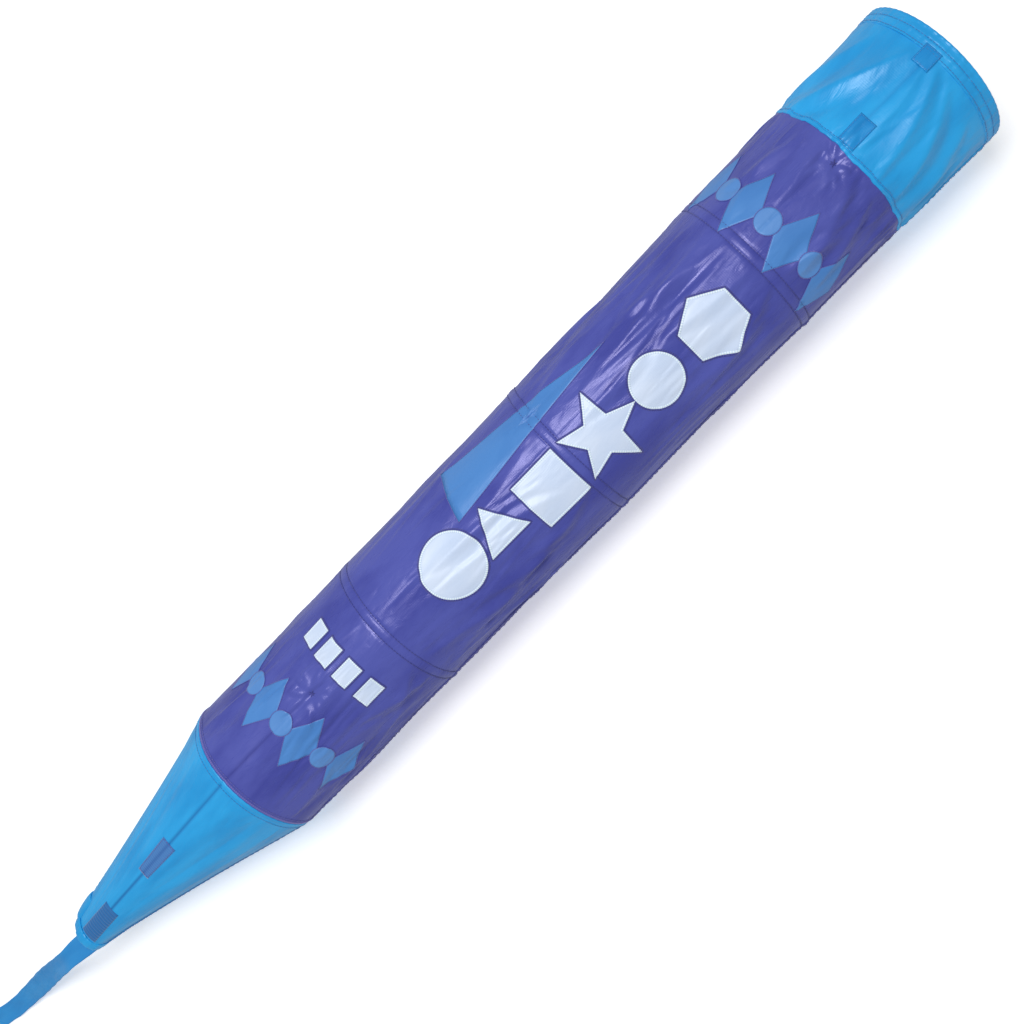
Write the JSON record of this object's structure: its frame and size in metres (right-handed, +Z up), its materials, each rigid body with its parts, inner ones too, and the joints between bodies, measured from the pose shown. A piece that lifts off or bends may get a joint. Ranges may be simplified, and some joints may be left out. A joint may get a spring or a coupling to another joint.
{
  "type": "crayon-shaped fabric windsock",
  "caption": "Crayon-shaped cloth flying tube, held round by sewn-in hoops and long by a rod spine, with a cone tip, an open mouth and a ribbon tail.",
  "frame": {"origin": "on the ground under the middle of the whole object, tail bundle included", "axes": "+X along the tube from the cone's tip to the open mouth, +Z up with the spine on top"},
  "size_m": [1.709, 0.1576, 0.158],
  "materials": {
    "light_cloth": "thin coated ripstop nylon, sheen",
    "dark_cloth": "thin coated ripstop nylon, sheen",
    "motif_cloth": "thin coated ripstop nylon, zigzag stitched",
    "pale_cloth": "pale ripstop applique with satin stitched edge",
    "binding": "double folded nylon seam",
    "webbing": "ribbed woven nylon webbing",
    "tape": "woven nylon tape",
    "cord": "braided polyester cord",
    "fibreglass": "pultruded fibreglass rod, satin",
    "vinyl": "flexible vinyl, matte",
    "ferrule_metal": "drawn tube, satin"
  },
  "bodies": {
    "cone_end": {"cone_top": "light_cloth", "cone_bottom": "light_cloth", "cone_seam_left": "binding", "cone_seam_right": "binding", "tip_cuff": "light_cloth", "tip_pocket": "webbing", "cone_keeper": "tape", "tail_tab": "light_cloth", "cone_hoop": "fibreglass", "cone_hoop_ferrule": "ferrule_metal", "cone_hoop_sleeve": "tape", "spine_lower": "fibreglass", "spine_lower_cap": "vinyl", "spine_joiner": "vinyl", "body_top": "dark_cloth", "body_bottom": "dark_cloth", "band_top": "light_cloth", "band_bottom": "light_cloth", "body_seam_left": "binding", "body_seam_right": "binding", "band_keeper": "tape", "lower_tie": "cord", "upper_tie": "cord", "tip_diamonds": "motif_cloth", "tip_discs": "motif_cloth", "mouth_diamonds": "motif_cloth", "mouth_discs": "motif_cloth", "small_tiles": "pale_cloth", "pennant": "motif_cloth", "large_disc": "pale_cloth", "triangle": "pale_cloth", "square": "pale_cloth", "star": "pale_cloth", "small_disc": "pale_cloth", "hexagon": "pale_cloth"},
    "ring_a": {"hoop_a": "fibreglass", "hoop_a_ferrule": "ferrule_metal", "hoop_a_sleeve": "tape"},
    "ring_b": {"hoop_b": "fibreglass", "hoop_b_ferrule": "ferrule_metal", "hoop_b_sleeve": "tape"},
    "ring_c": {"hoop_c": "fibreglass", "hoop_c_ferrule": "ferrule_metal", "hoop_c_sleeve": "tape"},
    "mouth_ring": {"mouth_hoop": "fibreglass", "mouth_hoop_ferrule": "ferrule_metal", "mouth_hoop_sleeve": "tape", "mouth_hem": "light_cloth", "mouth_patch": "binding"},
    "spine_rod": {"spine_middle": "fibreglass", "spine_ferrule": "ferrule_metal"},
    "spine_end": {"spine_upper": "fibreglass", "spine_upper_cap": "vinyl"},
    "tail": {"tail_strip": "light_cloth", "tail_bundle": "light_cloth", "tail_band": "binding"}
  },
  "joints": [
    {"name": "mouth_gather", "type": "slide", "parent": "cone_end", "child": "mouth_ring", "axis": [-1, 0, 0], "range_m": [0, 0.7922], "deforming": ["body_top", "body_bottom", "band_top", "band_bottom", "body_seam_left", "body_seam_right", "band_keeper", "lower_tie", "upper_tie", "tip_diamonds", "tip_discs", "mouth_diamonds", "mouth_discs", "small_tiles", "pennant", "large_disc", "triangle", "square", "star", "small_disc", "hexagon"]},
    {"name": "ring_a_gather", "type": "slide", "parent": "cone_end", "child": "ring_a", "axis": [-1, 0, 0], "range_m": [0, 0.18785]},
    {"name": "ring_b_gather", "type": "slide", "parent": "cone_end", "child": "ring_b", "axis": [-1, 0, 0], "range_m": [0, 0.3927]},
    {"name": "ring_c_gather", "type": "slide", "parent": "cone_end", "child": "ring_c", "axis": [-1, 0, 0], "range_m": [0, 0.59415]},
    {"name": "spine_draw", "type": "slide", "parent": "cone_end", "child": "spine_rod", "axis": [1, 0, 0], "range_m": [0, 0.47]},
    {"name": "ferrule_pull", "type": "slide", "parent": "spine_rod", "child": "spine_end", "axis": [1, 0, 0], "range_m": [0, 0.03]},
    {"name": "tail_swing", "type": "hinge", "parent": "cone_end", "child": "tail", "pos_m": [-0.37849, 0, 0.07875], "axis": [0, 0, 1], "range_deg": [-50, 50]}
  ],
  "couplings": [
    {"joint": "ring_a_gather", "follows": "mouth_gather", "ratio": 0.23712},
    {"joint": "ring_b_gather", "follows": "mouth_gather", "ratio": 0.49571},
    {"joint": "ring_c_gather", "follows": "mouth_gather", "ratio": 0.75}
  ]
}
